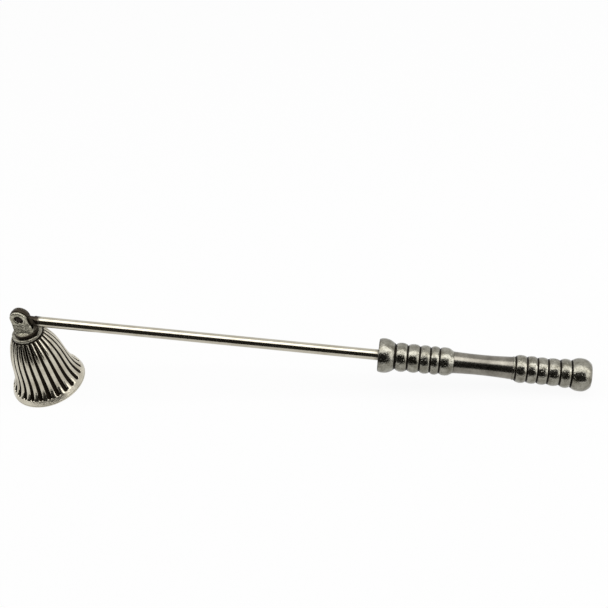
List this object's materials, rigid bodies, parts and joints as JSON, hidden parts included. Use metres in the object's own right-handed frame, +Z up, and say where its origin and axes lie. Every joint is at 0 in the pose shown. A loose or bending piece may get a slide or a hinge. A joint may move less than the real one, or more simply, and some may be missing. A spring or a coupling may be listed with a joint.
{
  "type": "candle snuffer",
  "caption": "Long-handled candle snuffer: a fluted hollow bell on a yoke, hinged to a slim rod with a turned, beaded handle and end knob.",
  "frame": {"origin": "centre of the bell's rim, on the flat surface that the bell stands on", "axes": "+X along the rod towards the end knob, +Y along the hinge pin, +Z up the bell's axis to the hinge"},
  "size_m": [0.2687, 0.035, 0.0466],
  "materials": {
    "cast_nickel": "nickel plated brass casting, polished on the ribs and darkened in the flutes",
    "grip_nickel": "nickel plated brass turning with fine pits, darkened in the grooves",
    "sleeve_nickel": "smooth nickel plated brass tube",
    "plated_rod": "drawn steel rod with bright nickel plate",
    "pin_steel": "dark plain steel pin",
    "plain_steel": "plain zinc plated steel"
  },
  "bodies": {
    "handle": {"rod": "plated_rod", "front_grip": "grip_nickel", "middle_sleeve": "sleeve_nickel", "rear_grip": "grip_nickel", "end_knob": "grip_nickel"},
    "bell_head": {"bell": "cast_nickel", "crown_ring": "cast_nickel", "yoke": "cast_nickel", "crown_washer": "plain_steel", "crown_nut": "plain_steel", "hinge_pin": "pin_steel"}
  },
  "joints": [
    {"name": "bell_hinge", "type": "hinge", "parent": "handle", "child": "bell_head", "pos_m": [0, 0, 0.0421], "axis": [0, 1, 0], "range_deg": [-20, 215]}
  ]
}
